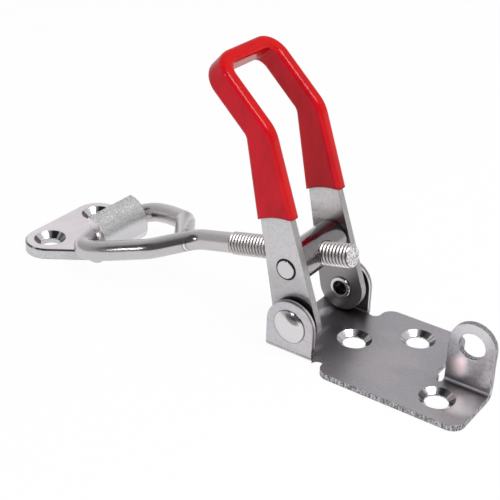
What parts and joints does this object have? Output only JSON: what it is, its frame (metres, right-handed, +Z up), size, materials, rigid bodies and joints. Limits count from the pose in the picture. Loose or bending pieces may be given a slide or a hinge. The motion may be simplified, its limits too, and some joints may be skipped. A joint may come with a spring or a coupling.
{
  "type": "over centre toggle latch",
  "caption": "Over-centre toggle latch: lever handle with dipped grip, adjustable eye bolt loop, hooked keeper and base plate with padlock tab.",
  "frame": {"origin": "on the base plate's underside, below the handle's pivot axis, on the middle plane", "axes": "+X from the keeper towards the padlock tab, +Y across the latch, +Z up from the mounting surface"},
  "size_m": [0.275, 0.07, 0.1394],
  "materials": {
    "plate_steel": "stamped, zinc plated, satin",
    "rivet_steel": "formed, smooth",
    "strap_steel": "stamped, zinc plated, satin",
    "red_dip": "dipped PVC, smooth",
    "turned_steel": "turned",
    "rod_steel": "drawn rod, plated",
    "keeper_steel": "cast and tumbled, plated"
  },
  "bodies": {
    "base": {"base_plate": "plate_steel", "pivot_rivet_left": "rivet_steel", "pivot_rivet_right": "rivet_steel"},
    "handle": {"handle_strap": "strap_steel", "grip_sleeve": "red_dip"},
    "barrel": {"barrel_nut": "turned_steel"},
    "bolt": {"eye_bolt": "rod_steel"},
    "keeper": {"hook_keeper": "keeper_steel"}
  },
  "joints": [
    {"name": "handle_pivot", "type": "hinge", "parent": "base", "child": "handle", "pos_m": [0, 0, 0.0162], "axis": [0, 1, 0], "range_deg": [0, 107.2]},
    {"name": "barrel_pivot", "type": "hinge", "parent": "handle", "child": "barrel", "pos_m": [-0.00709, 0, 0.04267], "axis": [0, 1, 0], "range_deg": [-97, 0]},
    {"name": "eye_bolt_adjust", "type": "slide", "parent": "barrel", "child": "bolt", "axis": [-0.9746, 0, -0.2239], "range_m": [-0.01, 0.01]},
    {"name": "keeper_hinge", "type": "hinge", "parent": "bolt", "child": "keeper", "pos_m": [-0.14188, 0, 0.0117], "axis": [0, 1, 0], "range_deg": [-12, 0]}
  ],
  "couplings": [
    {"joint": "barrel_pivot", "follows": "handle_pivot", "ratio": -0.8926},
    {"joint": "keeper_hinge", "follows": "handle_pivot", "ratio": -0.1074}
  ]
}
